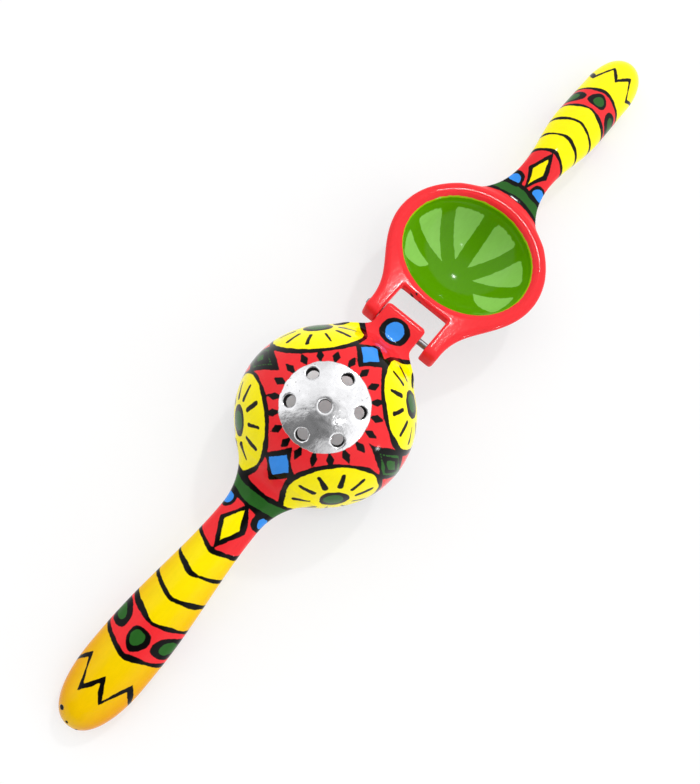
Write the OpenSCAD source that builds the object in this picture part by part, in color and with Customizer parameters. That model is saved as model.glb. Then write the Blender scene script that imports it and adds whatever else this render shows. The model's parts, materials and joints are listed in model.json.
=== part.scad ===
// Hand lemon squeezer: two cast levers on one hinge pin, lying open and face down on a table.
// X runs along the levers, bowl towards -X and press towards +X, with the hinge axis above the origin.

/* [Levers] */
// Distance from the hinge axis to each handle tip
lever_l = 205; // [195:1:230]
// Distance from the hinge axis to the middle of the bowl and of the press
cup_x = 49.6; // [48.5:0.1:54]
// Gap from the parting plane to each rim face
rim_gap = 0.75; // [0.4:0.05:1.5]
// Gap from the parting plane to the inner face of each handle
grip_gap = 1.5; // [0.8:0.1:4]

/* [Bowl] */
// Outer radius of the bowl
bowl_r = 38; // [36.5:0.1:39.5]
// Wall of the bowl
bowl_wall = 3.4; // [2.5:0.1:4.5]
// Diameter of each juice hole
hole_d = 5; // [3:0.1:6]
// Number of juice holes around the middle one
hole_count = 6; // [3:1:8]
// Radius of the ring of juice holes
hole_ring_r = 13.6; // [11:0.1:16]

/* [Press] */
// How far the press rim stands inside the outer edge of the bowl
rim_inset = 0.6; // [0:0.1:1.5]
// Gap between the press dome and the bowl, at the rim
press_clear = 2; // [1.6:0.1:4]
// Depth of the press dome below its rim face
press_depth = 22; // [18:0.5:26]
// Wall of the press dome
press_wall = 3; // [2:0.1:4]
// Thickness of the press rim
rim_t = 4.2; // [3:0.1:6]
// Chamfer on the outer edges of the press rim
rim_chamfer = 0.8; // [0.2:0.1:1.2]

/* [Bowl handle] */
// Greatest width of the bowl handle
bowl_grip_w = 27.8; // [22:0.1:32]
// Width of the bowl handle at its neck
bowl_neck_w = 18.6; // [15:0.1:21]
// Radius of the hollow flare from the neck into the bowl, seen from above
bowl_flare_r = 28; // [20:0.5:34]
// Length of the bowl handle at its full width
bowl_grip_l = 2; // [1:1:20]
// Length of the rounded end of the bowl handle
bowl_end_l = 29.5; // [20:0.5:35]

/* [Press handle] */
// Greatest width of the press handle
press_grip_w = 26; // [22:0.1:32]
// Width of the press handle at its neck
press_neck_w = 17; // [14:0.1:20]
// Radius of the hollow flare from the neck into the rim, seen from above
press_flare_r = 38; // [28:0.5:44]
// Length of the press handle at its full width
press_grip_l = 28; // [5:1:35]
// Length of the rounded end of the press handle
press_end_l = 25; // [20:0.5:35]

/* [Handle section] */
// Thickness of each handle at its full width
grip_t = 15; // [12:0.5:18]
// Thickness of each handle at its neck
neck_t = 12.5; // [10:0.5:15]
// Height of the widest line of a handle above its inner face
grip_waist = 6; // [4:0.5:8]
// Length of the rounding of each handle end, seen from the side
end_round = 12; // [8:0.5:16]
// Radius of the hollow rise from the bowl neck to the bowl, seen from the side
rise_r = 15; // [10:0.5:20]
// Length of the slope from the press handle down to the press rim
fall_l = 36; // [20:1:50]

/* [Hinge] */
// Diameter of the hinge pin
pin_d = 3; // [2.5:0.1:4]
// Radial clearance of the pin in the lug
pin_clear = 0.05; // [0.02:0.01:0.1]
// How far the pin stands out of the ear on its proud side
pin_proud = 0.8; // [0.2:0.1:2]
// Chamfer on each end of the pin
pin_chamfer = 0.4; // [0.1:0.1:0.8]
// Width of the hinge lug of the bowl lever
lug_w = 20; // [16:0.5:24]
// Free play of the lug along the pin, both sides together
side_play = 4.6; // [0.6:0.1:6]
// Share of that play taken up to one side, from 0 for centred to 1 for touching
side_shift = 0.8; // [0:0.05:0.9]
// Distance from the pin axis to the flat end of the lug and of each ear
knuckle_end = 5; // [4:0.1:6]
// Radius of the rounded corners of the lug and of each ear, about the pin axis
knuckle_r = 6.2; // [5.8:0.1:7]
// Height of the top of the lug above the pin axis
lug_top = 5.6; // [5:0.1:7]
// Height of the inner face of the lug above the plane of the bowl rim
lug_lift = 0.4; // [0.2:0.1:1.5]
// Chamfer on the end corners of the lug, seen from above
lug_chamfer = 1.5; // [0.5:0.1:3]
// Width that the lug gains on each side where it flares into the bowl
lug_flare = 6.5; // [3:0.5:8]
// Width of each ear of the press lever
ear_w = 6.8; // [5:0.1:9]
// Distance from the pin axis to the straight wall at the root of the ears
slot_x = 14.5; // [12:0.1:17]
// Width of the web that braces each ear, where it meets the rim
gusset_w = 9; // [5:0.5:11]

/* [Hidden] */
$fn = 96;

// Extra length by which a cutting shape passes the face that it cuts
over = 1;
// Depth of the circle that each flare is tangent to, inside the outer surface of the bowl or rim
root_depth = 0.5;
// Length by which a handle runs on into the bowl or rim, where the hollow cuts it off
root_run = 10;
// Depth of the root of the press handle below the faces of the rim
root_sink = 0.3;
// Exponent of the rounded outline of each handle end, a little fuller than an ellipse
end_power = 2.3;
// Exponent of the flattened lower half of a handle section
belly_power = 3.2;
// Exponent that holds the taper wide before it draws in to the neck
taper_bias = 1.08;
// Points around a handle section
ring_points = 32;
// Sections along the flare, the taper, the full width and the rounded end of a handle
flare_rings = 9;
taper_rings = 12;
grip_rings = 2;
end_rings = 12;
// Share of the rounded end that is reached by the last section
end_share = 0.999;
// Passes used to settle each resting angle
settle_passes = 6;

rim_r = bowl_r - rim_inset;
bowl_in_r = bowl_r - bowl_wall;
rim_top = rim_gap + rim_t;
rim_mid = rim_gap + rim_t / 2;
press_mouth_r = bowl_in_r - press_clear;
press_out_r = (press_mouth_r * press_mouth_r + press_depth * press_depth) / (2 * press_depth);
press_in_r = press_out_r - press_wall;
press_mid_z = rim_gap - press_depth + press_out_r;
hollow_r = sqrt(press_in_r * press_in_r - pow(press_mid_z - rim_top, 2));
fork_gap = lug_w + side_play;
fork_w = fork_gap + 2 * ear_w;
side_offset = side_shift * side_play / 2;
lug_root_w = lug_w + 2 * lug_flare;
lug_flare_x = cup_x - sqrt(bowl_r * bowl_r - lug_root_w * lug_root_w / 4) + bowl_wall / 4;
lug_reach = lug_flare_x + over;
waist_z = grip_gap + grip_waist;
neck_top = grip_gap + neck_t;
grip_top = grip_gap + grip_t;

// Resting pose: the press stands on its dome and its handle end, the bowl lever on its handle end.
tip_x = lever_l - end_round;
function tip_drop(tilt) = norm([grip_waist * cos(tilt), end_round * sin(tilt)]);
dome_to_tip = [tip_x - cup_x, press_mid_z - waist_z];
function press_step(tilt) = atan2(dome_to_tip.x, dome_to_tip.y)
    - acos((press_out_r - tip_drop(tilt)) / norm(dome_to_tip));
function press_settle(tilt, passes) =
    passes == 0 ? tilt : press_settle(press_step(tilt), passes - 1);
press_tilt = press_settle(0, settle_passes);
hinge_z = tip_drop(press_tilt) - waist_z * cos(press_tilt) + tip_x * sin(press_tilt);
function bowl_step(tilt) = atan2(waist_z, tip_x)
    + asin((hinge_z - tip_drop(tilt)) / norm([tip_x, waist_z]));
function bowl_settle(tilt, passes) =
    passes == 0 ? tilt : bowl_settle(bowl_step(tilt), passes - 1);
bowl_tilt = bowl_settle(0, settle_passes);

// A curve that eases from 0 to 1 as t goes from 0 to 1
function ease(t) = (1 - cos(180 * max(0, min(1, t)))) / 2;
function signed_power(value, power) = sign(value) * pow(abs(value), power);

// A handle is [grip width, neck width, flare radius, grip length, end length, root radius, rises to bowl].
bowl_handle = [bowl_grip_w, bowl_neck_w, bowl_flare_r, bowl_grip_l, bowl_end_l, bowl_r - root_depth, true];
press_handle = [press_grip_w, press_neck_w, press_flare_r, press_grip_l, press_end_l,
    rim_r - root_depth, false];
function grip_half(h) = h[0] / 2;
function neck_half(h) = h[1] / 2;
function end_x(h) = lever_l - h[4];
function grip_x(h) = end_x(h) - h[3];
// The neck begins where an arc of the flare radius, tangent to the root circle, has reached it.
function flare_dx(h) = sqrt(pow(h[5] + h[2], 2) - pow(neck_half(h) + h[2], 2));
function neck_x(h) = cup_x + flare_dx(h);
function root_x(h) = cup_x + flare_dx(h) * h[5] / (h[5] + h[2]);

function half_width(h, x) =
    x < neck_x(h) ? neck_half(h) + h[2] - sqrt(h[2] * h[2] - pow(neck_x(h) - max(x, root_x(h)), 2)) :
    x < grip_x(h) ? grip_half(h)
        - (grip_half(h) - neck_half(h)) * ease(pow((grip_x(h) - x) / (grip_x(h) - neck_x(h)), taper_bias)) :
    x < end_x(h) ? grip_half(h) :
    grip_half(h) * pow(1 - pow((x - end_x(h)) / h[4], end_power), 1 / end_power);

// Top line of a handle: it rises on an arc to the bowl, or slopes down to the press rim.
rise_root = bowl_r - root_depth;
rise_dx = sqrt(pow(rise_root + rise_r, 2) - pow(neck_top - rim_gap + rise_r, 2));
rise_start = cup_x + rise_dx;
rise_end = cup_x + rise_dx * rise_root / (rise_root + rise_r);
function bowl_rise(x) = x > rise_start ? 0 :
    rise_r - sqrt(rise_r * rise_r - pow(rise_start - max(x, rise_end), 2));
function blend(from, to, share) = from + (to - from) * share;
function press_fall(x) = ease((cup_x + rim_r + fall_l - x) / fall_l);
function grip_line(h, x) = blend(neck_top, grip_top, ease((x - neck_x(h)) / (grip_x(h) - neck_x(h))));
function top_line(h, x) =
    h[6] ? grip_line(h, x) + bowl_rise(x) : blend(grip_line(h, x), rim_top - root_sink, press_fall(x));
// Widest line and inner face of a handle: on the press they come down to the rim.
function waist_line(h, x) = h[6] ? waist_z : blend(waist_z, rim_mid, press_fall(x));
function inner_line(h, x) = h[6] ? grip_gap : blend(grip_gap, rim_gap + root_sink, press_fall(x));
// The rounding of the end, seen from the side, is an ellipse.
function end_fall(x) = x < tip_x ? 1 : sqrt(1 - pow((x - tip_x) / end_round, 2));

function ring_xs(h) = concat(
    [root_x(h) - root_run],
    [for (i = [0 : flare_rings - 1]) root_x(h) + (neck_x(h) - root_x(h)) * i / flare_rings],
    [for (i = [0 : taper_rings - 1]) neck_x(h) + (grip_x(h) - neck_x(h)) * i / taper_rings],
    [for (i = [0 : grip_rings - 1]) grip_x(h) + (end_x(h) - grip_x(h)) * i / grip_rings],
    [for (i = [0 : end_rings]) end_x(h) + h[4] * end_share * sin(90 * i / end_rings)]);

function ring_point(h, x, angle) =
    let (upper = angle < 180)
    let (power = upper ? 1 : 2 / belly_power)
    let (waist = waist_line(h, x))
    let (rise = upper ? top_line(h, x) - waist : waist - inner_line(h, x))
    [x,
     half_width(h, x) * signed_power(cos(angle), power),
     waist + rise * end_fall(x) * signed_power(sin(angle), power)];

module handle(h) {
    xs = ring_xs(h);
    count = len(xs);
    points = [for (x = xs) for (j = [0 : ring_points - 1]) ring_point(h, x, 360 * j / ring_points)];
    sides = [for (i = [0 : count - 2]) for (j = [0 : ring_points - 1])
        let (a = i * ring_points + j)
        let (b = i * ring_points + (j + 1) % ring_points)
        each [[a, a + ring_points, b], [b, a + ring_points, b + ring_points]]];
    first = [for (j = [0 : ring_points - 1]) j];
    last = [for (j = [0 : ring_points - 1]) count * ring_points - 1 - j];
    polyhedron(points, concat(sides, [first, last]));
}

// Side outline of a hinge knuckle: a square-ended block with corners rounded about the pin axis.
module knuckle_outline(top, reach, inner) {
    intersection() {
        translate([-knuckle_end, -knuckle_end])
            square([knuckle_end + reach, knuckle_end + top]);
        union() {
            circle(knuckle_r);
            translate([0, inner])
                square([reach, top]);
        }
    }
}

module knuckle(width, top, reach, inner) {
    rotate([90, 0, 0])
        linear_extrude(width, center = true)
            knuckle_outline(top, reach, inner);
}

// Outline of the lug from above: chamfered end corners and a flare towards the bowl.
module lug_outline() {
    polygon([
        [-knuckle_end - over, -lug_w / 2 + lug_chamfer + over],
        [-knuckle_end - over, lug_w / 2 - lug_chamfer - over],
        [-knuckle_end + lug_chamfer, lug_w / 2],
        [lug_flare_x - lug_flare, lug_w / 2],
        [lug_flare_x, lug_root_w / 2],
        [lug_reach + over, lug_root_w / 2],
        [lug_reach + over, -lug_root_w / 2],
        [lug_flare_x, -lug_root_w / 2],
        [lug_flare_x - lug_flare, -lug_w / 2],
        [-knuckle_end + lug_chamfer, -lug_w / 2]]);
}

module lug() {
    intersection() {
        knuckle(lug_root_w, lug_top, lug_reach, rim_gap + lug_lift);
        translate([0, 0, -knuckle_end - over])
            linear_extrude(knuckle_end + lug_top + 2 * over)
                lug_outline();
    }
}

module pin_bore(radius) {
    rotate([90, 0, 0])
        cylinder(h = fork_w + 2 * over, r = radius, center = true);
}

module bowl_shell() {
    translate([cup_x, 0, rim_gap])
        rotate_extrude()
            intersection() {
                circle(bowl_r);
                square(bowl_r);
            }
}

module juice_holes() {
    lean = asin(hole_ring_r / bowl_r);
    translate([cup_x, 0, rim_gap]) {
        cylinder(h = bowl_r + over, d = hole_d);
        for (i = [0 : hole_count - 1])
            rotate([0, 0, 360 * i / hole_count])
                rotate([0, lean, 0])
                    cylinder(h = bowl_r + over, d = hole_d);
    }
}

// The bowl lever in its own frame: hinge axis at the origin, handle towards +X, outside up.
module bowl_lever_flat() {
    difference() {
        union() {
            bowl_shell();
            lug();
            handle(bowl_handle);
        }
        translate([cup_x, 0, rim_gap])
            sphere(bowl_in_r);
        juice_holes();
        pin_bore(pin_d / 2 + pin_clear);
    }
}

module bowl_lever() {
    color("gold")
        translate([0, side_offset / 2, hinge_z])
            rotate([0, 0, 180])
                rotate([0, bowl_tilt, 0])
                    bowl_lever_flat();
}

// Half section of the press rim and dome about the middle of the press.
module press_outline() {
    polygon([
        [0, rim_gap],
        [rim_r - rim_chamfer, rim_gap],
        [rim_r, rim_gap + rim_chamfer],
        [rim_r, rim_top - rim_chamfer],
        [rim_r - rim_chamfer, rim_top],
        [0, rim_top]]);
    intersection() {
        translate([0, press_mid_z])
            circle(press_out_r);
        translate([0, rim_gap - press_depth - over])
            square([press_out_r, press_depth + over + rim_t / 2]);
    }
}

module press_cup() {
    translate([cup_x, 0, 0])
        rotate_extrude()
            press_outline();
}

// Web outside an ear, between the ear and the rim
module gusset(side) {
    ear_side = fork_w / 2 - over;
    meet_y = fork_w / 2 + gusset_w;
    meet_x = cup_x - sqrt(rim_r * rim_r - meet_y * meet_y) + rim_chamfer;
    translate([0, 0, rim_gap])
        linear_extrude(rim_t)
            polygon([
                [slot_x - gusset_w, side * ear_side],
                [slot_x - gusset_w, side * fork_w / 2],
                [meet_x, side * meet_y],
                [meet_x, side * ear_side]]);
}

module fork() {
    ear_reach = cup_x - sqrt(rim_r * rim_r - fork_w * fork_w / 4) + rim_chamfer + over;
    for (side = [-1, 1]) {
        translate([0, side * (fork_gap + ear_w) / 2, 0])
            knuckle(ear_w, rim_top, ear_reach, rim_gap);
        gusset(side);
    }
    translate([slot_x, -fork_gap / 2 - over, rim_gap])
        cube([cup_x - hollow_r - slot_x, fork_gap + 2 * over, rim_t]);
}

// The press lever in its own frame: hinge axis at the origin, handle towards +X, dome down.
module press_lever_flat() {
    difference() {
        union() {
            press_cup();
            fork();
            handle(press_handle);
        }
        translate([cup_x, 0, press_mid_z])
            sphere(press_in_r);
        translate([-knuckle_r - over, -fork_gap / 2, -knuckle_end - over])
            cube([knuckle_r + over + slot_x, fork_gap, knuckle_end + rim_top + 2 * over]);
        pin_bore(pin_d / 2);
    }
}

module press_place() {
    translate([0, -side_offset / 2, hinge_z])
        rotate([0, press_tilt, 0])
            children();
}

module press_lever() {
    color("crimson")
        press_place()
            press_lever_flat();
}

module hinge_pin() {
    length = fork_w + pin_proud;
    color("silver")
        press_place()
            translate([0, -fork_w / 2, 0])
                rotate([-90, 0, 0])
                    rotate_extrude()
                        polygon([
                            [0, 0],
                            [pin_d / 2 - pin_chamfer, 0],
                            [pin_d / 2, pin_chamfer],
                            [pin_d / 2, length - pin_chamfer],
                            [pin_d / 2 - pin_chamfer, length],
                            [0, length]]);
}

bowl_lever();
press_lever();
hinge_pin();
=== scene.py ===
"""Painted hand lemon squeezer: smooth cast levers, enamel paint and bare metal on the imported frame."""
import json
import math
from collections import namedtuple

import bpy
import numpy as np
from mathutils import Color, Matrix, Vector


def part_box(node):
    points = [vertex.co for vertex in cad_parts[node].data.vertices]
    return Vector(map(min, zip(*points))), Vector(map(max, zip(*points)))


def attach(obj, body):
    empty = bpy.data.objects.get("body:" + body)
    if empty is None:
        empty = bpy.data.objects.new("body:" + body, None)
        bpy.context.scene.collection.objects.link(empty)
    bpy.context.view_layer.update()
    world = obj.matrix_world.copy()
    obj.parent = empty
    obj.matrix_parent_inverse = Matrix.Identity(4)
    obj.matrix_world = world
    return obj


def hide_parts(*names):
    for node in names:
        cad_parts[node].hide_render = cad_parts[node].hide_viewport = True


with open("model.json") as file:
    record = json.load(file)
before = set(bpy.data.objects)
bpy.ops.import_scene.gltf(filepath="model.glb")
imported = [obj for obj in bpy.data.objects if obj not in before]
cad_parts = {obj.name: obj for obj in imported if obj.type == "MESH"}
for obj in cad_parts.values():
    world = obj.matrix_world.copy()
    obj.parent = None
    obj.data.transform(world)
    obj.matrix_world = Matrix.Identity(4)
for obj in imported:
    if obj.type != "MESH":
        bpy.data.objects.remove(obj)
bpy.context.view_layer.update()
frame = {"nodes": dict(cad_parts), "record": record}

# Metres in a millimetre, a length far beyond the tool's, and a number next to nothing
MM = 0.001
BIG = 1e3
TINY = 1e-9

# Sizes of the levers in millimetres. A lever's own frame has the hinge axis along Y,
# the handle towards +X and the outside face towards +Z.
# Both levers: length, middle of the cup, and half the gaps that are left when they are closed
LEVER_L = 205.0
CUP_X = 49.6
RIM_GAP = 0.75
GRIP_GAP = 1.5

# Bowl and its juice holes
BOWL_R = 38.0
BOWL_WALL = 3.4
HOLE_R = 2.5
HOLE_COUNT = 6
HOLE_RING_R = 13.6

# Press rim and dome
RIM_R = 37.4
RIM_T = 4.2
PRESS_CLEAR = 2.0
PRESS_DEPTH = 22.0
PRESS_WALL = 3.0

# Handles: thickness, rounded ends, powers of their curves, rise to the bowl, fall to the press rim,
# and roots in the cups
GRIP_T = 15.0
NECK_T = 12.5
GRIP_WAIST = 6.0
END_ROUND = 12.0
END_POWER = 2.3
BELLY_POWER = 3.2
TAPER_BIAS = 1.08
RISE_R = 15.0
FALL_L = 36.0
ROOT_DEPTH = 0.5
ROOT_RUN = 10.0
ROOT_SINK = 0.3

# Hinge: pin, lug of the bowl lever, and ears of the press lever
PIN_R = 1.5
PIN_ROOM = 0.06
LUG_W = 20.0
LUG_TOP = 5.6
LUG_LIFT = 0.4
LUG_CHAMFER = 1.5
LUG_FLARE = 6.5
SIDE_PLAY = 4.6
KNUCKLE_END = 5.0
KNUCKLE_R = 6.2
EAR_W = 6.8
SLOT_X = 14.5

# Sizes that follow from those above
BOWL_IN_R = BOWL_R - BOWL_WALL
RIM_TOP = RIM_GAP + RIM_T
RIM_MID = RIM_GAP + RIM_T / 2
PRESS_MOUTH_R = BOWL_IN_R - PRESS_CLEAR
PRESS_OUT_R = (PRESS_MOUTH_R**2 + PRESS_DEPTH**2) / (2 * PRESS_DEPTH)
PRESS_IN_R = PRESS_OUT_R - PRESS_WALL
PRESS_MID_Z = RIM_GAP - PRESS_DEPTH + PRESS_OUT_R
BOWL_MID = np.array((CUP_X, 0, RIM_GAP))
PRESS_MID = np.array((CUP_X, 0, PRESS_MID_Z))
FORK_GAP = LUG_W + SIDE_PLAY
FORK_W = FORK_GAP + 2 * EAR_W
WAIST_Z = GRIP_GAP + GRIP_WAIST
NECK_TOP = GRIP_GAP + NECK_T
GRIP_TOP = GRIP_GAP + GRIP_T
TIP_X = LEVER_L - END_ROUND
LUG_ROOT_W = LUG_W + 2 * LUG_FLARE
LUG_FLARE_X = CUP_X - math.sqrt(BOWL_R**2 - LUG_ROOT_W**2 / 4) + BOWL_WALL / 4
LUG_FLARE_RUN = 1.5 * LUG_FLARE
RISE_ROOT = BOWL_R - ROOT_DEPTH
RISE_DX = math.sqrt((RISE_ROOT + RISE_R) ** 2 - (NECK_TOP - RIM_GAP + RISE_R) ** 2)

# Roundings of the casting in millimetres
EDGE_SOFT = 1.0
RIM_ROUND = 1.9
LIP_SOFT = 3.0
HOLE_SOFT = 0.4
HANDLE_SOFT = 3.0
LUG_SOFT = 8.0
LUG_EDGE = 0.4
WEB_SOFT = 17.0
EAR_EDGE = 1.8
DOME_SOFT = 2.0

# Mesh of a lever: grid step and margin in millimetres, and how its points are drawn onto the surface
MESH_STEP = 0.65
MESH_PAD = 1.84
SLOPE_STEP = 0.02
LEAST_STEEP = 0.04
DRAW_PASSES = 3
DRAW_LIMIT = 0.5
EVEN_PASSES = 4
EVEN_SHARE = 0.5


def ease(t):
    """A curve that eases from 0 to 1 as t goes from 0 to 1."""
    return (1 - np.cos(np.pi * np.clip(t, 0, 1))) / 2


def blend(start, end, share):
    return start + (end - start) * share


def soft_min(a, b, soft):
    """Union of two distances with a fillet of about the given size."""
    share = np.clip((1 + (b - a) / soft) / 2, 0, 1)
    return blend(b, a, share) - soft * share * (1 - share)


def soft_max(a, b, soft):
    """Overlap of two distances with a rounded edge of about the given size."""
    return -soft_min(-a, -b, soft)


class Handle(namedtuple("Handle", "grip_w neck_w flare_r grip_l end_l root_r rises")):
    """Outline of one handle, with the same curves as its solid."""

    @property
    def flare_dx(self):
        return math.sqrt((self.root_r + self.flare_r) ** 2 - (self.neck_w / 2 + self.flare_r) ** 2)

    @property
    def neck_x(self):
        return CUP_X + self.flare_dx

    @property
    def root_x(self):
        return CUP_X + self.flare_dx * self.root_r / (self.root_r + self.flare_r)

    @property
    def end_x(self):
        return LEVER_L - self.end_l

    @property
    def grip_x(self):
        return self.end_x - self.grip_l

    def half_width(self, x):
        drop = np.clip(self.neck_x - np.maximum(x, self.root_x), 0, self.flare_r)
        flare = self.neck_w / 2 + self.flare_r - np.sqrt(self.flare_r**2 - drop**2)
        back = np.clip((self.grip_x - x) / (self.grip_x - self.neck_x), 0, 1)
        taper = blend(self.grip_w / 2, self.neck_w / 2, ease(back**TAPER_BIAS))
        out = np.clip((x - self.end_x) / self.end_l, 0, 1)
        return np.where(x < self.neck_x, flare, taper) * (1 - out**END_POWER) ** (1 / END_POWER)

    def press_fall(self, x):
        """Share by which the handle has come down to the press rim."""
        return 0 if self.rises else ease((CUP_X + RIM_R + FALL_L - x) / FALL_L)

    def top_line(self, x):
        grip = blend(NECK_TOP, GRIP_TOP, ease((x - self.neck_x) / (self.grip_x - self.neck_x)))
        if not self.rises:
            return blend(grip, RIM_TOP - ROOT_SINK, self.press_fall(x))
        rise_start = CUP_X + RISE_DX
        rise_end = CUP_X + RISE_DX * RISE_ROOT / (RISE_ROOT + RISE_R)
        climb = np.clip(rise_start - np.maximum(x, rise_end), 0, RISE_R)
        return grip + RISE_R - np.sqrt(RISE_R**2 - climb**2)

    def waist_line(self, x):
        return blend(WAIST_Z, RIM_MID, self.press_fall(x))

    def inner_line(self, x):
        return blend(GRIP_GAP, RIM_GAP + ROOT_SINK, self.press_fall(x))

    def section(self, p):
        """Half width, middle height and half height of the section at each point."""
        x, _, z = p.T
        along = np.clip(x, self.root_x - ROOT_RUN, LEVER_L - SLOPE_STEP)
        middle = self.waist_line(along)
        rise = np.where(z > middle, self.top_line(along) - middle, middle - self.inner_line(along))
        out = np.clip((along - TIP_X) / END_ROUND, 0, 1)
        return self.half_width(along), middle, rise * np.sqrt(1 - out**2)

    def field(self, p):
        """Distance to the handle, exact on its surface and near enough beside it."""
        x, y, z = p.T
        half, middle, rise = self.section(p)
        u = np.abs(y) / half
        v = np.abs(z - middle) / rise
        power = np.where(z > middle, 2, BELLY_POWER)
        share = (u**power + v**power) ** (1 / power)
        slope = np.hypot(u / half, v / rise) + TINY
        side = (share - 1) * np.hypot(u, v) / slope
        return np.maximum(np.maximum(side, x - LEVER_L), self.root_x - ROOT_RUN - x)


BOWL_HANDLE = Handle(
    grip_w=27.8, neck_w=18.6, flare_r=28, grip_l=2, end_l=29.5, root_r=BOWL_R - ROOT_DEPTH, rises=True,
)
PRESS_HANDLE = Handle(
    grip_w=26, neck_w=17, flare_r=38, grip_l=28, end_l=25, root_r=RIM_R - ROOT_DEPTH, rises=False,
)


def knuckle(x, z, top, inner):
    """Side outline of the lug or of an ear: a block with its end rounded about the pin."""
    bar = np.maximum(inner - z, -x)
    shape = soft_min(np.hypot(x, z) - KNUCKLE_R, bar, EDGE_SOFT)
    for side in (-KNUCKLE_END - x, -KNUCKLE_END - z, z - top):
        shape = soft_max(shape, side, EDGE_SOFT)
    return shape


def lug_field(p):
    """Distance to the hinge lug, which widens into the bowl."""
    x, y, z = p.T
    flare = ease((x - LUG_FLARE_X + LUG_FLARE_RUN) / LUG_FLARE_RUN)
    side = np.abs(y) - LUG_W / 2 - LUG_FLARE * flare
    corner = (np.abs(y) - LUG_W / 2 - x - KNUCKLE_END + LUG_CHAMFER) / math.sqrt(2)
    shape = soft_max(knuckle(x, z, LUG_TOP, RIM_GAP + LUG_LIFT), side, LUG_EDGE)
    shape = soft_max(shape, corner, LUG_EDGE)
    return np.maximum(shape, x - CUP_X)


def pin_bore(p):
    """Distance to the hole that the hinge pin runs through."""
    return np.hypot(p[:, 0], p[:, 2]) - PIN_R - PIN_ROOM


def hole_axes():
    """Directions of the juice holes from the middle of the bowl."""
    lean = math.asin(HOLE_RING_R / BOWL_R)
    turns = [2 * math.pi * i / HOLE_COUNT for i in range(HOLE_COUNT)]
    ring = [(math.sin(lean) * math.cos(a), math.sin(lean) * math.sin(a), math.cos(lean)) for a in turns]
    return [(0, 0, 1)] + ring


def bowl_field(p):
    """Distance to the bowl lever."""
    from_mid = p - BOWL_MID
    reach = np.linalg.norm(from_mid, axis=1)
    lug = lug_field(p)
    shape = soft_min(reach - BOWL_R, BOWL_HANDLE.field(p), HANDLE_SOFT)
    shape = soft_min(shape, lug, LUG_SOFT)
    shape = soft_max(shape, RIM_GAP - p[:, 2], EDGE_SOFT)
    shape = np.minimum(shape, lug)
    shape = soft_max(shape, BOWL_IN_R - reach, EDGE_SOFT)
    for axis in hole_axes():
        along = from_mid @ np.array(axis)
        aside = np.sqrt(np.maximum(reach**2 - along**2, 0))
        hole = np.where(along > 0, aside, BIG) - HOLE_R
        shape = soft_max(shape, -hole, HOLE_SOFT)
    return soft_max(shape, -pin_bore(p), HOLE_SOFT)


def plate(outline, z):
    """A flat plate as thick as the rim, with rounded edges, from the distance to its outline."""
    out = outline + RIM_ROUND
    up = np.abs(z - RIM_MID) - (RIM_T / 2 - RIM_ROUND)
    outside = np.hypot(np.maximum(out, 0), np.maximum(up, 0))
    return outside + np.minimum(np.maximum(out, up), 0) - RIM_ROUND


def rim_field(p):
    """Distance to the press rim and the roots of its ears as one plate, filled in the middle."""
    x, y, z = p.T
    ring = np.hypot(x - CUP_X, y) - RIM_R
    arms = np.maximum(np.maximum(np.abs(y) - FORK_W / 2, x - CUP_X), -x)
    return plate(soft_min(ring, arms, WEB_SOFT), z)


def ear_field(p):
    """Distance to the rounded ends of the two ears, joined across the slot."""
    x, y, z = p.T
    ear = soft_max(knuckle(x, z, RIM_TOP, RIM_GAP), np.abs(y) - FORK_W / 2, EAR_EDGE)
    return np.maximum(ear, x - SLOT_X / 2)


def slot_field(p):
    """Distance to the slot between the ears, which takes the lug."""
    x, y, _ = p.T
    return soft_max(np.abs(y) - FORK_GAP / 2, x - SLOT_X, EDGE_SOFT)


def press_field(p):
    """Distance to the press lever."""
    reach = np.linalg.norm(p - PRESS_MID, axis=1)
    dome = soft_max(reach - PRESS_OUT_R, p[:, 2] - RIM_MID, EDGE_SOFT)
    shape = soft_min(rim_field(p), dome, DOME_SOFT)
    shape = soft_min(shape, PRESS_HANDLE.field(p), HANDLE_SOFT)
    shape = np.minimum(shape, ear_field(p))
    shape = soft_max(shape, PRESS_IN_R - reach, LIP_SOFT)
    shape = soft_max(shape, -slot_field(p), EDGE_SOFT)
    return soft_max(shape, -pin_bore(p), HOLE_SOFT)


# Corners of a grid cell, and steps along its edges
CORNERS = [np.array((i, j, k)) for i in (0, 1) for j in (0, 1) for k in (0, 1)]
STEPS = np.eye(3, dtype=int)


def sample(field, axes):
    """The field on a grid, one slice of constant x at a time."""
    y, z = (side.ravel() for side in np.meshgrid(axes[1], axes[2], indexing="ij"))
    shape = (len(axes[1]), len(axes[2]))
    return np.array([field(np.column_stack((np.full(y.size, x), y, z))).reshape(shape) for x in axes[0]])


def crossed_cells(inside):
    """Low corners of the grid cells that the surface passes through."""
    cells = np.array(inside.shape) - 1
    full = np.zeros(cells, np.int8)
    for corner in CORNERS:
        full += inside[tuple(slice(low, low + count) for low, count in zip(corner, cells))]
    return np.argwhere((full > 0) & (full < len(CORNERS)))


def cut_middles(value, cells):
    """Middle of the places where the surface cuts each cell's edges, in steps from its low corner."""
    total = np.zeros((len(cells), 3))
    count = np.zeros(len(cells))
    for start in CORNERS:
        for step in STEPS[start == 0]:
            at_start = value[tuple((cells + start).T)]
            at_end = value[tuple((cells + start + step).T)]
            cut = (at_start < 0) != (at_end < 0)
            share = np.where(cut, at_start / np.where(cut, at_start - at_end, 1), 0)
            total += np.where(cut[:, None], start + share[:, None] * step, 0)
            count += cut
    return total / count[:, None]


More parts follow.
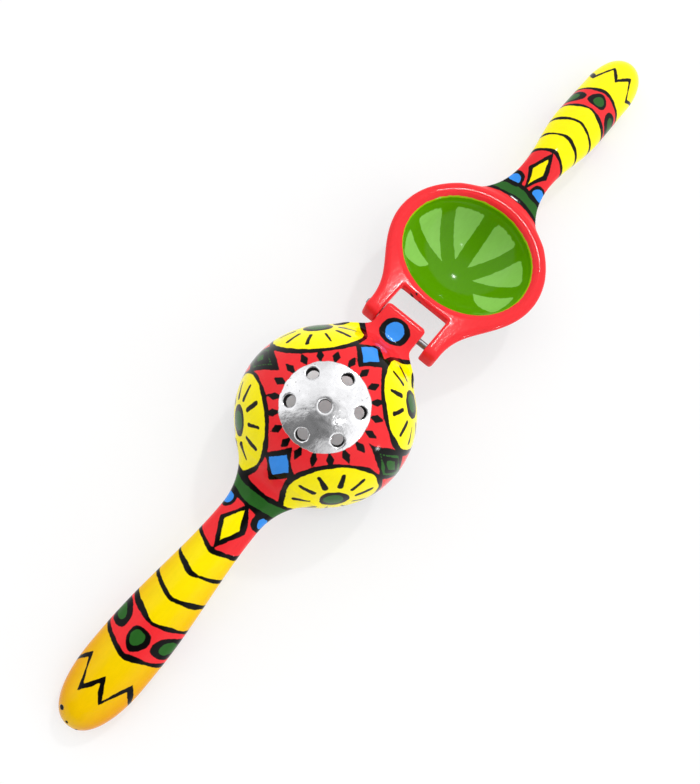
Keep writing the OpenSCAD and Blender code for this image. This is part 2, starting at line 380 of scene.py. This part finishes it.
def faces_across(inside, number):
    """Four-sided faces that look outward, one across each grid edge that the surface cuts."""
    faces = []
    for axis in range(3):
        u, v = STEPS[(axis + 1) % 3], STEPS[(axis + 2) % 3]
        edges = np.argwhere(np.diff(inside, axis=axis))
        around = (edges - u - v, edges - v, edges, edges - u)
        quads = np.column_stack([number[tuple(cell.T)] for cell in around])
        outward = inside[tuple(edges.T)]
        faces.append(np.where(outward[:, None], quads, quads[:, ::-1]))
    return np.concatenate(faces)


def draw_in(field, points):
    """Moves points onto the surface where the field is zero."""
    for _ in range(DRAW_PASSES):
        slope = np.empty_like(points)
        for axis, shift in enumerate(SLOPE_STEP * STEPS):
            slope[:, axis] = (field(points + shift) - field(points - shift)) / (2 * SLOPE_STEP)
        steep = np.maximum((slope**2).sum(1), LEAST_STEEP)
        step = slope * (field(points) / steep)[:, None]
        size = np.maximum(np.linalg.norm(step, axis=1), TINY)
        points = points - step * np.minimum(1, DRAW_LIMIT / size)[:, None]
    return points


def even_out(points, faces):
    """Moves each point part of the way to the middle of its neighbours."""
    total = np.zeros_like(points)
    count = np.zeros(len(points))
    for corner in range(4):
        here = faces[:, corner]
        for there in (faces[:, corner - 1], faces[:, corner - 3]):
            count += np.bincount(here, minlength=len(points))
            for axis in range(3):
                total[:, axis] += np.bincount(here, points[there, axis], len(points))
    return blend(points, total / count[:, None], EVEN_SHARE)


def surface(field, low, high):
    """Vertices and four-sided faces of the surface where the field is zero."""
    axes = [np.arange(a - MESH_PAD, b + MESH_PAD, MESH_STEP) for a, b in zip(low, high)]
    value = sample(field, axes)
    inside = value < 0
    cells = crossed_cells(inside)
    number = np.full(inside.shape, -1)
    number[tuple(cells.T)] = np.arange(len(cells))
    faces = faces_across(inside, number)
    start = np.array([side[0] for side in axes])
    points = draw_in(field, start + (cells + cut_middles(value, cells)) * MESH_STEP)
    for _ in range(EVEN_PASSES):
        points = draw_in(field, even_out(points, faces))
    return points, faces


# Where the two levers lie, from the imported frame
HINGE_Z = frame["record"]["behaviour"]["joints"][0]["pos_m"][2]
RIM_AXIS = frame["record"]["mounts"][0]["axis"]
TILT = math.atan2(RIM_AXIS[0], -RIM_AXIS[2])


def placement(node, turn):
    """Matrix from a lever's own frame to the row frame."""
    low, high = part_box(node)
    middle = Matrix.Translation((0, (low.y + high.y) / 2, HINGE_Z))
    return middle @ Matrix.Rotation(turn, 4, "Z") @ Matrix.Rotation(TILT, 4, "Y")


def add_object(name, data):
    """A new object in the scene."""
    item = bpy.data.objects.new(name, data)
    bpy.context.scene.collection.objects.link(item)
    return item


def lever(node, body, material, field, layers, low, high, turn):
    """One lever as a dense smooth mesh that carries its paint layout as distances in millimetres."""
    points, faces = surface(field, low, high)
    mesh = bpy.data.meshes.new(node + "_cast")
    mesh.from_pydata((points * MM).tolist(), [], faces.tolist())
    mesh.polygons.foreach_set("use_smooth", np.ones(len(faces), bool))
    for name, distance in layers(points).items():
        mesh.attributes.new(name, "FLOAT", "POINT").data.foreach_set("value", distance.astype(np.float32))
    mesh.transform(placement(node, turn))
    mesh.materials.append(material)
    piece = add_object(node + "_cast", mesh)
    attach(piece, body)
    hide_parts(node)


# Paint layout: signed distances in millimetres, below zero inside a shape
def disc(du, dv, radius):
    return np.hypot(du, dv) - radius


def lozenge(du, dv, half_u, half_v):
    size = half_u * half_v / math.hypot(half_u, half_v)
    return (np.abs(du) / half_u + np.abs(dv) / half_v - 1) * size


def band(value, low, high):
    return np.maximum(low - value, value - high)


def nearest(*distances):
    return np.minimum.reduce(distances)


def repeat(value, pitch):
    """Offset of a value from the middle of the nearest of evenly spaced places."""
    return value - pitch * np.round(value / pitch)


def zigzag(value, pitch, height):
    return height * (4 * np.abs(repeat(value, pitch)) / pitch - 1)


# Uneven pressure of a brush: its swing, and two waves in radians to a millimetre along X, Y and Z
BRUSH_SWING = 0.22
BRUSH_WAVES = ((0.31, 0.23, 0), (0.11, 0.43, -0.37))


def brush(p):
    """Factor by which the width of a stroke grows or shrinks."""
    return 1 + BRUSH_SWING * sum(np.sin(p @ np.array(wave)) for wave in BRUSH_WAVES)


# Widths of painted strokes, and places along a handle, in millimetres
OUTLINE = 2.1
STROKE = 1.8
COLLAR = (41.0, 47.5)
FIELDS = ((120.0, 155.0), (170.5, 240.0))
CHEVRON = 0.35
CHEVRON_ROUND = 2.0
CHEVRONS_AT = (131.5, 143.5)
DOTS_AT = 162.75
DOT_R = 4.0
DOT_PITCH = 12.0
GEM_AT = 107.0
GEM_HALF = (9.5, 6.0)
BEADS_AT = (99.5, 10.0)
BEAD_R = 3.4
WAVE_AT = 186.0
WAVE_PITCH = 10.0
WAVE_HEIGHT = 4.5
WAVE_SLANT = 1.6


def handle_layers(handle, p):
    """Bands, chevrons, lozenges and dots around a handle."""
    x, y, z = p.T
    half, middle, _ = handle.section(p)
    around = np.arctan2(y, z - middle) * (half + GRIP_WAIST) / 2
    out = np.hypot(x - CUP_X, y)
    press = brush(p)
    point = x + CHEVRON * np.hypot(around, CHEVRON_ROUND)

    collar = band(out, *COLLAR)
    gem = lozenge(x - GEM_AT, around, *GEM_HALF)
    beads = disc(x - BEADS_AT[0], np.abs(around) - BEADS_AT[1], BEAD_R)
    fields = [band(point, *ends) for ends in FIELDS]
    strokes = np.maximum(nearest(*(np.abs(point - at) for at in CHEVRONS_AT)), fields[0])
    dots = disc(point - DOTS_AT, repeat(around, DOT_PITCH), DOT_R)
    wave = np.abs(point - WAVE_AT - zigzag(around, WAVE_PITCH, WAVE_HEIGHT)) / WAVE_SLANT
    wave = np.maximum(wave, fields[1])

    shapes = (collar, gem, beads, dots, *fields)
    outlines = nearest(*(np.abs(shape) for shape in shapes)) - OUTLINE / 2 * press
    layers = {
        "yellow": nearest(gem, *fields),
        "green": nearest(collar, dots),
        "blue": beads,
        "black": nearest(outlines, nearest(strokes, wave) - STROKE / 2 * press),
    }
    on_handle = np.maximum(COLLAR[0] - OUTLINE / 2 - out, CUP_X - x)
    return {name: np.maximum(shape, on_handle) for name, shape in layers.items()}


# Places on the bowl, as turns from the handle and leans from the crown in degrees
CROWN_R = 17.4
ROUNDEL_TURNS = (45, 135)
ROUNDEL_LEAN = 66
ROUNDEL_R = 20.0
ROUNDEL_EYE_R = 5.0
SPOKE_COUNT = 10
SPOKE_ENDS = (9.5, 15.5)
LOZENGE_TURN = 90
LOZENGE_LEAN = 62
LOZENGE_HALF = (6.0, 15.0)
BOWL_GEM_TURNS = (0, 180)
BOWL_GEM_LEAN = 47
BOWL_GEM_HALF = (6.0, 8.5)
TICK_COUNT = 20
TICK_LEAN = 31.5
TICK_HALF = (1.6, 3.6)
BUTTON_AT = 4.5
BUTTON_R = 5.2


def on_bowl(from_mid, turn, lean):
    """Offsets in millimetres across and along the meridian from a place on the bowl."""
    turn, lean = math.radians(turn), math.radians(lean)
    out = np.array((math.cos(turn), math.sin(turn), 0))
    across = np.array((-math.sin(turn), math.cos(turn), 0))
    normal = out * math.sin(lean) + np.array((0, 0, math.cos(lean)))
    down = out * math.cos(lean) - np.array((0, 0, math.sin(lean)))
    near = from_mid / np.linalg.norm(from_mid, axis=1)[:, None]
    angle = np.arccos(np.clip(near @ normal, -1, 1))
    u, v = near @ across, near @ down
    scale = BOWL_R * angle / np.maximum(np.hypot(u, v), TINY)
    return u * scale, v * scale


def spoke(du, dv):
    """Distance to the middle line of the nearest of a roundel's spokes."""
    out = np.hypot(du, dv)
    aside = out * np.sin(repeat(np.arctan2(dv, du), 2 * math.pi / SPOKE_COUNT))
    return np.hypot(aside, np.maximum(band(out, *SPOKE_ENDS), 0))


def ticks(from_mid):
    """Small lozenges in a ring round the bare crown."""
    x, y, z = from_mid.T
    lean = np.arctan2(np.hypot(x, y), z)
    turn = repeat(np.arctan2(y, x) + math.pi / TICK_COUNT, 2 * math.pi / TICK_COUNT)
    along = BOWL_R * (lean - math.radians(TICK_LEAN))
    return lozenge(turn * BOWL_R * np.sin(lean), along, *TICK_HALF)


def bowl_design(p):
    """Roundels and lozenges round the bowl, and a button on the lug."""
    x, y, z = p.T
    from_mid = p - BOWL_MID
    press = brush(p)
    roundels, eyes, spokes, lozenges, cores = [], [], [], [], []
    for side in (-1, 1):
        for turn in ROUNDEL_TURNS:
            place = on_bowl(from_mid, side * turn, ROUNDEL_LEAN)
            roundels.append(disc(*place, ROUNDEL_R))
            eyes.append(disc(*place, ROUNDEL_EYE_R))
            spokes.append(spoke(*place))
        place = on_bowl(from_mid, side * LOZENGE_TURN, LOZENGE_LEAN)
        lozenges.append(lozenge(*place, *LOZENGE_HALF))
        cores.append(np.abs(lozenge(*place, *(half / 2 for half in LOZENGE_HALF))))
    gems = [lozenge(*on_bowl(from_mid, turn, BOWL_GEM_LEAN), *BOWL_GEM_HALF) for turn in BOWL_GEM_TURNS]
    button = np.maximum(disc(x - BUTTON_AT, y, BUTTON_R), -z)

    outlines = nearest(*(np.abs(shape) for shape in (*roundels, *eyes, *lozenges, *gems, button)))
    outlines = outlines - OUTLINE / 2 * press
    strokes = nearest(*spokes, *cores) - STROKE / 2 * press
    return {
        "yellow": nearest(*roundels),
        "green": nearest(*lozenges, *eyes),
        "blue": nearest(*gems, button),
        "black": nearest(outlines, strokes, ticks(from_mid)),
    }


# Painted shade: the yellow on the bowl's handle deepens to gold along its length towards the tip
# and towards its sides, where less light falls. The handle is also chipped in two places near the
# tip: distance along and across the handle, and radius
SHADE_FROM = 105.0
SHADE_RUN = 150.0
SHADE_SIDE = 0.45
CHIPS = ((199.5, -5.5, 1.1), (202.6, -0.5, 0.8))


def bowl_layers(p):
    """Paint with painted shade on the handle, bare metal, dark hole walls and wear on the bowl lever."""
    x, y, z = p.T
    from_mid = p - BOWL_MID
    height = from_mid[:, 2]
    reach = np.linalg.norm(from_mid, axis=1)
    out = np.hypot(x - CUP_X, y)
    beyond = np.where(x > CUP_X, out - COLLAR[0], -BIG)
    handle = handle_layers(BOWL_HANDLE, p)
    design = bowl_design(p)
    layers = {name: nearest(np.maximum(shape, beyond), handle[name]) for name, shape in design.items()}

    crown = np.maximum(out - CROWN_R, BOWL_R / 2 - height)
    inside = np.maximum(reach - BOWL_IN_R - EDGE_SOFT, z - BOWL_R)
    mouth = np.maximum(z - RIM_GAP - EDGE_SOFT / 2, reach - BOWL_R + EDGE_SOFT)
    chips = nearest(*(disc(x - along, y - aside, radius) for along, aside, radius in CHIPS))
    chips = np.maximum(chips, WAIST_Z - z)
    # The walls of the juice holes are made dark, as are the chips near the tip
    walls = nearest(*(np.linalg.norm(np.cross(from_mid, axis), axis=1) for axis in hole_axes()))
    walls = np.maximum(walls - HOLE_R - HOLE_SOFT / 4, -height)
    layers["cast"] = nearest(inside, mouth)
    layers["metal"] = nearest(crown, layers["cast"], chips)
    layers["dark_walls_and_chips"] = nearest(walls, chips)

    # Share of painted shade: the yellow turns gold towards the tip and the sides of the handle
    half = BOWL_HANDLE.section(p)[0]
    yellow_shade = (x - SHADE_FROM) / SHADE_RUN + SHADE_SIDE * (y / half) ** 2
    layers["gold"] = np.where(x > SHADE_FROM, np.clip(yellow_shade, 0, 1), 0)
    layers["wear"] = LEVER_L - x
    return layers


# Lining of the hollow in the press, with wedges that fan out from its middle
WEDGE_COUNT = 6
WEDGE_PITCH = math.radians(43.4)
WEDGE_MIDDLE = math.radians(6)
WEDGE_GAP = 7.0
WEDGE_IN_R = 20.0
WEDGE_OUT_R = 28.2
WEDGE_SOFT = 1.5
LINING_DEPTH = 2.0
LINING_EDGE = 0.7
# Chips along the wall of the slot thin out with height
SLOT_FADE = 0.4


def wedges(x, y):
    """Distance in plan to the nearest wedge of the lining."""
    out = np.hypot(x - CUP_X, y)
    turn = np.arctan2(y, x - CUP_X) - WEDGE_MIDDLE
    turn = np.arctan2(np.sin(turn), np.cos(turn))
    fan = WEDGE_COUNT * WEDGE_PITCH / 2
    aside = np.abs(repeat(turn - WEDGE_PITCH / 2, WEDGE_PITCH))
    shape = soft_max(out * np.sin(aside - WEDGE_PITCH / 2) + WEDGE_GAP / 2, out - WEDGE_OUT_R, WEDGE_SOFT)
    shape = soft_max(shape, WEDGE_IN_R * (turn / fan) ** 2 - out, WEDGE_SOFT)
    return np.maximum(shape, (np.abs(turn) - fan) * out)


def press_layers(p):
    """Paint, bare metal and wear on the press lever."""
    x, y, z = p.T
    layers = handle_layers(PRESS_HANDLE, p)
    reach = np.linalg.norm(p - PRESS_MID, axis=1)
    hollow = reach - PRESS_IN_R - LIP_SOFT / 2
    lining_top = RIM_TOP - LINING_DEPTH
    layers["rimline"] = np.maximum(hollow, z - lining_top - LINING_EDGE)
    layers["lime"] = np.maximum(hollow, z - lining_top)
    layers["pale"] = np.maximum(wedges(x, y), layers["lime"])

    dome = np.maximum(PRESS_IN_R + PRESS_WALL / 2 - reach, z - RIM_GAP)
    under = z - RIM_GAP - EDGE_SOFT / 2
    within = np.hypot(x - CUP_X, y) - RIM_R + RIM_ROUND
    layers["cast"] = np.maximum.reduce((nearest(dome, under), -hollow, within))
    layers["metal"] = layers["cast"]
    layers["dark_walls_and_chips"] = np.full(len(p), BIG)
    # No painted shade on the press lever
    layers["gold"] = np.zeros(len(p))
    slot = np.hypot(np.maximum(np.abs(y) - FORK_GAP / 2, 0), x - SLOT_X) + SLOT_FADE * np.maximum(z, 0)
    layers["wear"] = nearest(LEVER_L - x, slot)
    return layers


# Materials
def srgb(red, green, blue):
    """Linear colour with alpha from 8-bit screen values."""
    return (*Color((red / 255, green / 255, blue / 255)).from_srgb_to_scene_linear(), 1.0)


class Nodes:
    """The nodes of a material or of the world, added one at a time."""

    def __init__(self, owner):
        owner.use_nodes = True
        self.owner = owner
        self.nodes = owner.node_tree.nodes
        self.links = owner.node_tree.links

    def fill(self, node, inputs):
        """Links or sets a node's inputs, each given by its name or number."""
        for key, value in inputs.items():
            if isinstance(value, bpy.types.NodeSocket):
                self.links.new(value, node.inputs[key])
            else:
                node.inputs[key].default_value = value

    def add(self, kind, inputs, output=0, **settings):
        """Adds a node and gives one of its outputs."""
        node = self.nodes.new(kind)
        for name, value in settings.items():
            setattr(node, name, value)
        self.fill(node, inputs)
        return node.outputs[output]

    def shade(self, inputs):
        """Fills the material's own shader and gives its output."""
        shader = self.nodes["Principled BSDF"]
        self.fill(shader, inputs)
        return shader.outputs[0]

    def attribute(self, name):
        return self.add("ShaderNodeAttribute", {}, "Fac", attribute_name=name)

    def noise(self, scale, detail=3.0, rough=0.55, stretch=(1, 1, 1)):
        here = self.add("ShaderNodeTexCoord", {}, "Object")
        mapped = self.add("ShaderNodeMapping", {"Vector": here, "Scale": stretch})
        inputs = {"Vector": mapped, "Scale": scale, "Detail": detail, "Roughness": rough}
        return self.add("ShaderNodeTexNoise", inputs, "Fac")

    def math(self, operation, *values):
        return self.add("ShaderNodeMath", dict(enumerate(values)), operation=operation)

    def span(self, value, low, high, to_low=0.0, to_high=1.0, **settings):
        """Maps the range from low to high onto another, and holds it there beyond its ends."""
        inputs = {"Value": value, "From Min": low, "From Max": high, "To Min": to_low, "To Max": to_high}
        return self.add("ShaderNodeMapRange", inputs, **settings)

    def mix(self, share, first, second, kind="MIX"):
        """Mix of two colours, which are inputs 6 and 7 of the node and its output 2."""
        inputs = {0: share, 6: first, 7: second}
        return self.add("ShaderNodeMix", inputs, 2, data_type="RGBA", blend_type=kind)

    def darken(self, colour, factor):
        """A colour times a number."""
        grey = self.add("ShaderNodeCombineColor", {0: factor, 1: factor, 2: factor})
        return self.mix(1.0, colour, grey, "MULTIPLY")

    def between(self, share, first, second):
        """Mix of two numbers, which are inputs 2 and 3 of the node."""
        return self.add("ShaderNodeMix", {0: share, 2: first, 3: second})

    def bump(self, height, distance, normal=None):
        inputs = {"Height": height, "Distance": distance}
        if normal is not None:
            inputs["Normal"] = normal
        return self.add("ShaderNodeBump", inputs)


# Colours of the paint, of the bare metal and of the table
RED = srgb(238, 46, 52)
YELLOW = srgb(255, 240, 0)
# Gold of the painted shade on the bowl's handle, where less light falls
SHADE_GOLD = srgb(228, 148, 0)
GREEN = srgb(40, 96, 34)
BLUE = srgb(56, 146, 240)
BLACK = srgb(6, 5, 5)
RIMLINE = srgb(150, 196, 0)
LIME = srgb(92, 158, 0)
PALE = srgb(150, 212, 98)
ALUMINIUM = srgb(232, 232, 234)
CAST = srgb(166, 167, 170)
# Dark colour of the walls of the juice holes and of chips
DARK_METAL = srgb(30, 30, 31)
STEEL_DARK = srgb(96, 96, 98)
STEEL_LIGHT = srgb(168, 168, 172)
TABLE_DARK = srgb(247, 247, 247)
TABLE_LIGHT = srgb(250, 250, 250)
WHITE = (1, 1, 1, 1)

# Roughness, from the least to the most, and strength of the paint's and the table's reflections
GLOSS = (0.06, 0.11)
LINING_GLOSS = 0.12
METAL_DULL = (0.14, 0.26)
CAST_DULL = (0.3, 0.48)
DARK_METAL_DULL = 0.8
STEEL_DULL = (0.25, 0.4)
TABLE_DULL = 0.7
PAINT_SPECULAR = 0.12
TABLE_SPECULAR = 0.1

# Noises: scale in grains to a metre, with detail, roughness and stretch where they matter
WOBBLE = {"scale": 320, "detail": 2}
STREAKS = {"scale": 260, "detail": 4, "rough": 0.6, "stretch": (1, 3, 1)}
CHIPPING = {"scale": 420, "detail": 3}
PATCHES = {"scale": 110, "detail": 5, "rough": 0.65}
PITS = {"scale": 800, "detail": 2, "rough": 0.5}
SCRATCHES = {"scale": 500, "detail": 4, "rough": 0.6, "stretch": (1, 0.6, 1)}
DENTS = {"scale": 230, "detail": 3, "rough": 0.5, "stretch": (1, 1, 0.5)}
GRAIN = {"scale": 2500, "detail": 2, "rough": 0.5, "stretch": (1, 0.02, 1)}
TABLE_NOISE = {"scale": 40, "detail": 3}

# Levels between which a noise changes what it drives
MIDDLE = (0.3, 0.7)
GLOSS_LEVELS = (0.2, 0.8)
CHIP_LEVELS = (0.66, 0.675)
PIT_LEVELS = (0.68, 0.74)

# Shades that a noise gives, from its low to its high level
STREAK_SHADES = (0.96, 1.02)
PATCH_SHADES = (0.8, 1.06)
PIT_SHADES = (1.0, 0.55)

# Edges in millimetres: how far they wander, and half the width over which they blend
WANDER = 0.5
COAT_EDGE = 0.12
METAL_EDGE = 0.1
CAST_EDGE = 0.5
# Distance in millimetres from a worn edge over which chips thin out, and what is added to their
# noise at its two ends
CHIP_REACH = 7
CHIP_BIAS = (0.1, -0.2)

# Depths of relief in metres, and the share of the dents that as-cast metal has
COAT_DEPTH = 0.00003
STREAK_DEPTH = 0.00002
SCRATCH_DEPTH = 0.00005
DENT_DEPTH = 0.00022
CAST_DENTS = 0.4
GRAIN_DEPTH = 0.00002


def painted(tree, coats, wobble, streaks):
    """Colour of flat coats of paint over a red ground, the share that they cover, and their gloss."""
    colour = RED
    covered = 0.0
    gloss = tree.span(streaks, *GLOSS_LEVELS, *GLOSS)
    for attribute, tint in coats:
        edge = tree.math("ADD", tree.attribute(attribute), wobble)
        share = tree.span(edge, COAT_EDGE, -COAT_EDGE)
        colour = tree.mix(share, colour, tint)
        covered = tree.math("MAXIMUM", covered, share)
        if attribute == "lime":
            gloss = tree.between(share, gloss, LINING_GLOSS)
    return tree.darken(colour, tree.span(streaks, *MIDDLE, *STREAK_SHADES)), covered, gloss


def aluminium(tree, cast, dark_walls_and_chips):
    """Colour of bare metal: patchy and pitted, greyer where it is as cast, and dark in the hole walls and
    chips.
    """
    patches = tree.span(tree.noise(**PATCHES), *MIDDLE, *PATCH_SHADES)
    pits = tree.span(tree.noise(**PITS), *PIT_LEVELS, *PIT_SHADES)
    colour = tree.darken(tree.mix(cast, ALUMINIUM, CAST), tree.math("MULTIPLY", patches, pits))
    return tree.mix(dark_walls_and_chips, colour, DARK_METAL)


def enamel(name, lining=()):
    """Gloss paint in flat coats over a red ground, with bare metal where it is left off or chipped."""
    tree = Nodes(bpy.data.materials.new(name))
    wobble = tree.span(tree.noise(**WOBBLE), 0, 1, -WANDER, WANDER)
    streaks = tree.noise(**STREAKS)
    scratches = tree.noise(**SCRATCHES)
    # Painted shade: yellow darkened to gold where the bowl's handle is less lit
    yellow_shade = tree.mix(tree.attribute("gold"), YELLOW, SHADE_GOLD)
    coats = [("yellow", yellow_shade), ("green", GREEN), ("blue", BLUE), ("black", BLACK), *lining]
    colour, covered, gloss = painted(tree, coats, wobble, streaks)

    wear = tree.span(tree.attribute("wear"), 0, CHIP_REACH, *CHIP_BIAS)
    chipped = tree.span(tree.math("ADD", tree.noise(**CHIPPING), wear), *CHIP_LEVELS)
    bare = tree.span(tree.math("ADD", tree.attribute("metal"), wobble), METAL_EDGE, -METAL_EDGE)
    bare = tree.math("MAXIMUM", bare, chipped)
    cast = tree.span(tree.attribute("cast"), CAST_EDGE, -CAST_EDGE)
    # Dark where the walls of the holes and chips are
    dark_walls_and_chips = tree.span(tree.attribute("dark_walls_and_chips"), METAL_EDGE, -METAL_EDGE)
    dark_walls_and_chips = tree.math("MAXIMUM", dark_walls_and_chips, chipped)

    bright, satin = (tree.span(scratches, *MIDDLE, *ends) for ends in (METAL_DULL, CAST_DULL))
    rough = tree.between(bare, gloss, tree.between(cast, bright, satin))
    rough = tree.math("MAXIMUM", rough, tree.math("MULTIPLY", dark_walls_and_chips, DARK_METAL_DULL))
    dented = tree.math("MULTIPLY", bare, tree.span(cast, 0, 1, 1, CAST_DENTS))
    relief = tree.bump(covered, COAT_DEPTH)
    relief = tree.bump(streaks, STREAK_DEPTH, relief)
    relief = tree.bump(tree.math("MULTIPLY", scratches, bare), SCRATCH_DEPTH, relief)
    relief = tree.bump(tree.math("MULTIPLY", tree.noise(**DENTS), dented), DENT_DEPTH, relief)
    tree.shade({
        "Base Color": tree.mix(bare, colour, aluminium(tree, cast, dark_walls_and_chips)),
        "Metallic": tree.math("SUBTRACT", bare, dark_walls_and_chips),
        "Roughness": rough,
        "Specular IOR Level": PAINT_SPECULAR,
        "Normal": relief,
    })
    return tree.owner


def steel(name):
    """Drawn steel of the hinge pin."""
    tree = Nodes(bpy.data.materials.new(name))
    grain = tree.noise(**GRAIN)
    tree.shade({
        "Base Color": tree.mix(grain, STEEL_DARK, STEEL_LIGHT),
        "Metallic": 1.0,
        "Roughness": tree.span(grain, *MIDDLE, *STEEL_DULL),
        "Normal": tree.bump(grain, GRAIN_DEPTH),
    })
    return tree.owner


# Share of plain white that the camera sees in the table, which pales the shadow, and the distances
# in metres from the middle of the bowl between which it fades out under the bowl
FLOOR_GLOW = 0.55
BOWL_SHADE = (0.02, 0.04)


def ground(name):
    """Pale matt table top that shows a light shadow, and is clear when it is seen from below."""
    tree = Nodes(bpy.data.materials.new(name))
    top = tree.shade({
        "Base Color": tree.mix(tree.noise(**TABLE_NOISE), TABLE_DARK, TABLE_LIGHT),
        "Roughness": TABLE_DULL,
        "Specular IOR Level": TABLE_SPECULAR,
    })
    path = tree.nodes.new("ShaderNodeLightPath")
    seen = path.outputs["Is Camera Ray"]
    for ray in ("Is Glossy Ray", "Is Transmission Ray"):
        seen = tree.math("MAXIMUM", seen, path.outputs[ray])
    low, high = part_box("bowl_lever")
    bowl_at = (-CUP_X * MM, (low.y + high.y) / 2, 0)
    here = tree.add("ShaderNodeTexCoord", {}, "Object")
    away = tree.add("ShaderNodeVectorMath", {0: here, 1: bowl_at}, "Value", operation="DISTANCE")
    share = tree.math("MULTIPLY", seen, tree.span(away, *BOWL_SHADE, 0, FLOOR_GLOW))
    glow = tree.add("ShaderNodeEmission", {"Color": WHITE, "Strength": 1.0})
    shown = tree.add("ShaderNodeMixShader", {0: share, 1: top, 2: glow})
    below = tree.add("ShaderNodeNewGeometry", {}, "Backfacing")
    clear = tree.add("ShaderNodeBsdfTransparent", {})
    shown = tree.add("ShaderNodeMixShader", {0: below, 1: shown, 2: clear})
    tree.fill(tree.nodes["Material Output"], {"Surface": shown})
    return tree.owner


# The levers and the pin
LINING = (("rimline", RIMLINE), ("lime", LIME), ("pale", PALE))
lever(
    "bowl_lever", "bowl_lever_body", enamel("bowl_enamel"), bowl_field, bowl_layers,
    low=(-KNUCKLE_R, -BOWL_R, -KNUCKLE_R), high=(LEVER_L, BOWL_R, BOWL_R + RIM_GAP), turn=math.pi,
)
lever(
    "press_lever", "press_lever_body", enamel("press_enamel", LINING),
    press_field, press_layers,
    low=(-KNUCKLE_R, -RIM_R, RIM_GAP - PRESS_DEPTH), high=(LEVER_L, RIM_R, GRIP_TOP), turn=0,
)
pin = frame["nodes"]["hinge_pin"]
pin.data.materials.clear()
pin.data.materials.append(steel("pin_steel"))

# Table, with its side in metres
FLOOR_SIZE = 40.0
half_side = FLOOR_SIZE / 2
floor_mesh = bpy.data.meshes.new("floor")
floor_corners = [(x * half_side, y * half_side, 0) for x, y in ((-1, -1), (1, -1), (1, 1), (-1, 1))]
floor_mesh.from_pydata(floor_corners, [], [(0, 1, 2, 3)])
floor_mesh.materials.append(ground("floor_white"))
floor = add_object("floor", floor_mesh)

# Lamps: azimuth and elevation in degrees, size in metres and power in watts. The flat plate of the
# press mirrors the key lamp only where its slot is open, so the ears keep their colour.
LAMP_DISTANCE = 3.0
LAMPS = {
    "key": (5.4, 48.2, 0.18, 14.0),
    "spark": (-113, 69, 0.08, 3.0),
    "glint": (-85, 9, 0.24, 8.0),
}

# The room is white all round, dim above and behind the camera and brighter on three sides. Each part
# has its azimuth, elevation, inner and outer half widths in degrees, and the level that it adds. The
# parts come in over a range of heights above the horizon, given as sines.
ROOM_LEVEL = 0.96
ROOM_LEAST = 0.2
ROOM_RISE = (0.08, 0.35)
ROOM_PARTS = (
    (168, 45, 12, 30, -0.75),
    (-158, 70, 12, 32, -0.75),
    (172, 8, 20, 50, -0.65),
    (-15, 62, 10, 55, 0.3),
    (108, 38, 20, 40, 0.3),
    (-85, 20, 15, 50, 0.4),
)


def toward(azimuth, elevation):
    """Unit vector at an azimuth from +X and an elevation, both in degrees."""
    azimuth, elevation = math.radians(azimuth), math.radians(elevation)
    flat = math.cos(elevation)
    return Vector((flat * math.cos(azimuth), flat * math.sin(azimuth), math.sin(elevation)))


def add_lamp(name, azimuth, elevation, size, power):
    lamp = bpy.data.lights.new(name, "AREA")
    lamp.shape = "DISK"
    lamp.size = size
    lamp.energy = power
    light = add_object(name, lamp)
    light.location = toward(azimuth, elevation) * LAMP_DISTANCE
    light.rotation_euler = (-light.location).to_track_quat("-Z", "Y").to_euler()


def add_room():
    """Light from all round, in its listed parts."""
    world = bpy.data.worlds.new("studio")
    bpy.context.scene.world = world
    sky = Nodes(world)
    here = sky.add("ShaderNodeTexCoord", {}, "Generated")
    added = 0.0
    for azimuth, elevation, inner, outer, level in ROOM_PARTS:
        inputs = {0: here, 1: toward(azimuth, elevation)}
        facing = sky.add("ShaderNodeVectorMath", inputs, "Value", operation="DOT_PRODUCT")
        edges = (math.cos(math.radians(width)) for width in (outer, inner))
        share = sky.span(facing, *edges, interpolation_type="SMOOTHSTEP")
        added = sky.math("MULTIPLY_ADD", share, level, added)
    height = sky.add("ShaderNodeSeparateXYZ", {0: here}, "Z")
    rise = sky.span(height, *ROOM_RISE, interpolation_type="SMOOTHSTEP")
    total = sky.math("MULTIPLY_ADD", added, rise, ROOM_LEVEL)
    total = sky.math("MAXIMUM", total, ROOM_LEAST)
    sky.fill(sky.nodes["Background"], {"Color": WHITE, "Strength": total})


for lamp_name, lamp_values in LAMPS.items():
    add_lamp(lamp_name, *lamp_values)
add_room()

# Camera: picture width and focal length in pixels, sensor in millimetres, nearest distance seen and
# place in metres, and the directions in which the picture runs right and down
IMAGE_W = 700
FOCAL_PIXELS = 766
SENSOR = 36.0
CLIP_START = 0.01
CAMERA_AT = Vector((-0.12153, -0.02078, 0.33303))
CAMERA_RIGHT = Vector((0.62311, -0.77229, 0.12375))
CAMERA_DOWN = Vector((-0.73435, -0.63212, -0.24730))
lens = bpy.data.cameras.new("camera")
lens.sensor_fit = "HORIZONTAL"
lens.sensor_width = SENSOR
lens.lens = SENSOR * FOCAL_PIXELS / IMAGE_W
lens.clip_start = CLIP_START
camera = add_object("camera", lens)
up = -CAMERA_DOWN.normalized()
back = CAMERA_RIGHT.cross(up).normalized()
camera_turn = Matrix((up.cross(back), up, back)).transposed().to_4x4()
camera.matrix_world = Matrix.Translation(CAMERA_AT) @ camera_turn
bpy.context.scene.camera = camera

bpy.context.scene.view_settings.view_transform = "Standard"
